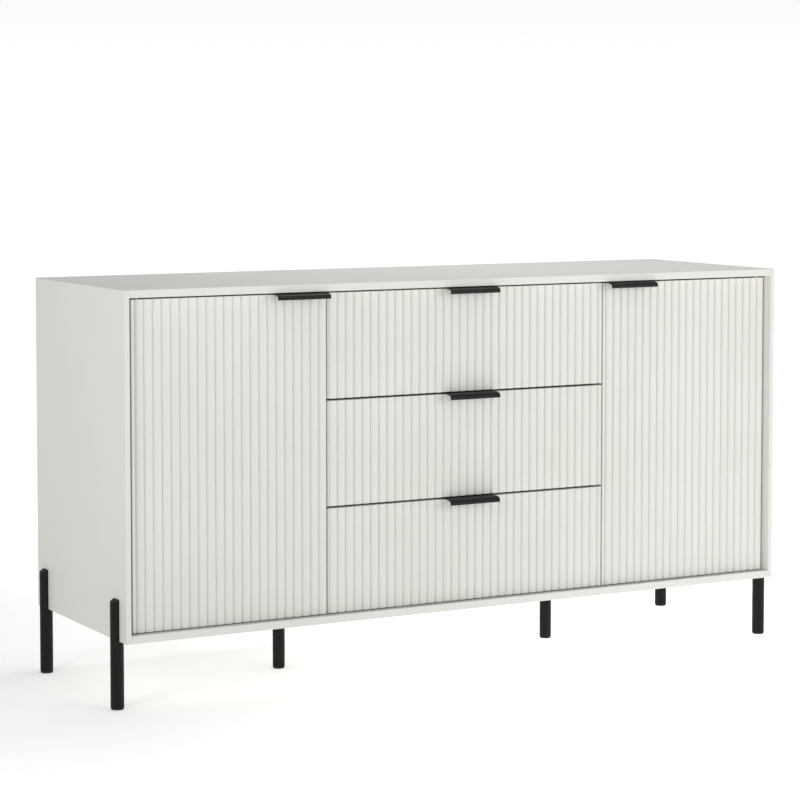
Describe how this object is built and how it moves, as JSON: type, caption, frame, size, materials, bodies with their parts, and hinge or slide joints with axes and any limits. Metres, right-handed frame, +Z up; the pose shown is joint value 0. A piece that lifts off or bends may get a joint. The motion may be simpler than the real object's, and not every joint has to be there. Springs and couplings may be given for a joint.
{
  "type": "sideboard buffet",
  "caption": "Low sideboard with a fluted hinged door on each side, a stack of fluted drawers between them, black edge pulls and round black legs lapped onto the side panels.",
  "frame": {"origin": "on the floor, under the centre of the bounding box", "axes": "+Z up, -Y out of the doors and drawers, +X to the right of someone facing the front"},
  "size_m": [1.526, 0.4777, 0.797],
  "materials": {
    "warm_white_lacquer": "satin lacquer on MDF",
    "white_melamine": "matt melamine-faced chipboard",
    "white_hardboard": "painted hardboard",
    "black_powder_coat": "fine-textured powder coat",
    "black_aluminium": "black anodised",
    "zinc_plated_steel": "zinc plated",
    "white_nylon": "moulded"
  },
  "bodies": {
    "carcass": {"top_panel": "warm_white_lacquer", "bottom_panel": "warm_white_lacquer", "side_panel_left": "warm_white_lacquer", "side_panel_right": "warm_white_lacquer", "partition_left": "white_melamine", "partition_right": "white_melamine", "shelf_left": "white_melamine", "shelf_right": "white_melamine", "back_panel": "white_hardboard", "leg_front_left": "black_powder_coat", "leg_front_right": "black_powder_coat", "leg_rear_left": "black_powder_coat", "leg_rear_right": "black_powder_coat", "leg_middle_left": "black_powder_coat", "leg_middle_right": "black_powder_coat", "cabinet_runner_bottom_left": "zinc_plated_steel", "cabinet_runner_bottom_right": "zinc_plated_steel", "cabinet_runner_middle_left": "zinc_plated_steel", "cabinet_runner_middle_right": "zinc_plated_steel", "cabinet_runner_top_left": "zinc_plated_steel", "cabinet_runner_top_right": "zinc_plated_steel", "pivot_pin_left_lower": "zinc_plated_steel", "pivot_pin_left_upper": "zinc_plated_steel", "pivot_pin_right_lower": "zinc_plated_steel", "pivot_pin_right_upper": "zinc_plated_steel"},
    "left_door": {"door_left": "warm_white_lacquer", "handle_door_left": "black_aluminium", "pivot_bush_left_lower": "white_nylon", "pivot_bush_left_upper": "white_nylon"},
    "right_door": {"door_right": "warm_white_lacquer", "handle_door_right": "black_aluminium", "pivot_bush_right_lower": "white_nylon", "pivot_bush_right_upper": "white_nylon"},
    "top_drawer": {"drawer_top_front": "warm_white_lacquer", "drawer_top_side_left": "white_melamine", "drawer_top_side_right": "white_melamine", "drawer_top_back": "white_melamine", "drawer_top_base": "white_hardboard", "handle_drawer_top": "black_aluminium", "drawer_runner_top_left": "zinc_plated_steel", "drawer_runner_top_right": "zinc_plated_steel"},
    "middle_drawer": {"drawer_middle_front": "warm_white_lacquer", "drawer_middle_side_left": "white_melamine", "drawer_middle_side_right": "white_melamine", "drawer_middle_back": "white_melamine", "drawer_middle_base": "white_hardboard", "handle_drawer_middle": "black_aluminium", "drawer_runner_middle_left": "zinc_plated_steel", "drawer_runner_middle_right": "zinc_plated_steel"},
    "bottom_drawer": {"drawer_bottom_front": "warm_white_lacquer", "drawer_bottom_side_left": "white_melamine", "drawer_bottom_side_right": "white_melamine", "drawer_bottom_back": "white_melamine", "drawer_bottom_base": "white_hardboard", "handle_drawer_bottom": "black_aluminium", "drawer_runner_bottom_left": "zinc_plated_steel", "drawer_runner_bottom_right": "zinc_plated_steel"}
  },
  "joints": [
    {"name": "left_door_hinge", "type": "hinge", "parent": "carcass", "child": "left_door", "pos_m": [-0.7169, -0.20235, 0.46305], "axis": [0, 0, -1], "range_deg": [0, 105]},
    {"name": "right_door_hinge", "type": "hinge", "parent": "carcass", "child": "right_door", "pos_m": [0.7169, -0.20235, 0.46305], "axis": [0, 0, 1], "range_deg": [0, 105]},
    {"name": "top_drawer_slide", "type": "slide", "parent": "carcass", "child": "top_drawer", "axis": [0, -1, 0], "range_m": [0, 0.3]},
    {"name": "middle_drawer_slide", "type": "slide", "parent": "carcass", "child": "middle_drawer", "axis": [0, -1, 0], "range_m": [0, 0.3]},
    {"name": "bottom_drawer_slide", "type": "slide", "parent": "carcass", "child": "bottom_drawer", "axis": [0, -1, 0], "range_m": [0, 0.3]}
  ]
}
